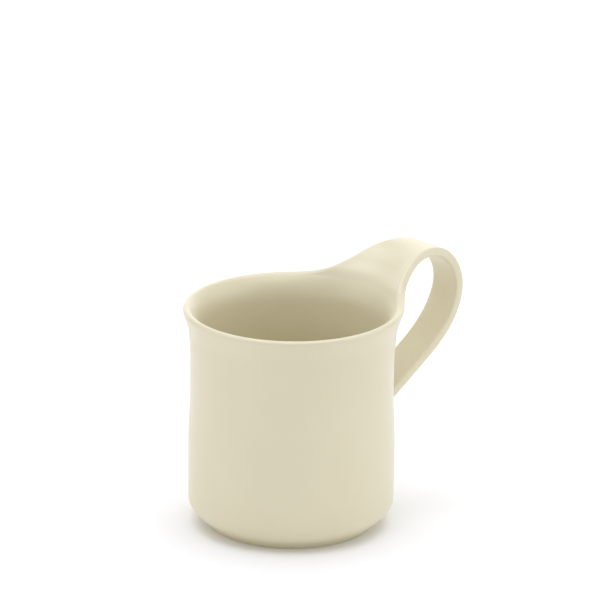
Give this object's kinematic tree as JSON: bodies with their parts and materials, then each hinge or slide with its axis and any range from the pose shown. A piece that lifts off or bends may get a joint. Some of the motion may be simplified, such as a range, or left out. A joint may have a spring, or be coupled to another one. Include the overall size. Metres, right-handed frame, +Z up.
{
  "type": "shaving mug",
  "caption": "Round cream-glazed stoneware shaving mug with a rounded rim that sweeps up into a wide ribbon handle looping down to the wall.",
  "frame": {"origin": "on the cup's axis, in the plane of the foot ring's ground face that the mug stands on", "axes": "+Z up along the cup's axis, +X from the axis towards the handle, +Y completes a right-handed frame; the XZ plane is the mug's mirror plane"},
  "size_m": [0.1267, 0.0844, 0.1002],
  "materials": {
    "cream_glaze": "satin-gloss cream glaze over stoneware",
    "bare_clay": "unglazed fired clay, ground flat",
    "joint_slip": "fired slip under the same cream glaze"
  },
  "bodies": {
    "root": {"cup_body": "cream_glaze", "foot_ring": "bare_clay", "ribbon_handle": "cream_glaze", "rim_joint_slip": "joint_slip", "wall_joint_slip": "joint_slip"}
  },
  "joints": []
}
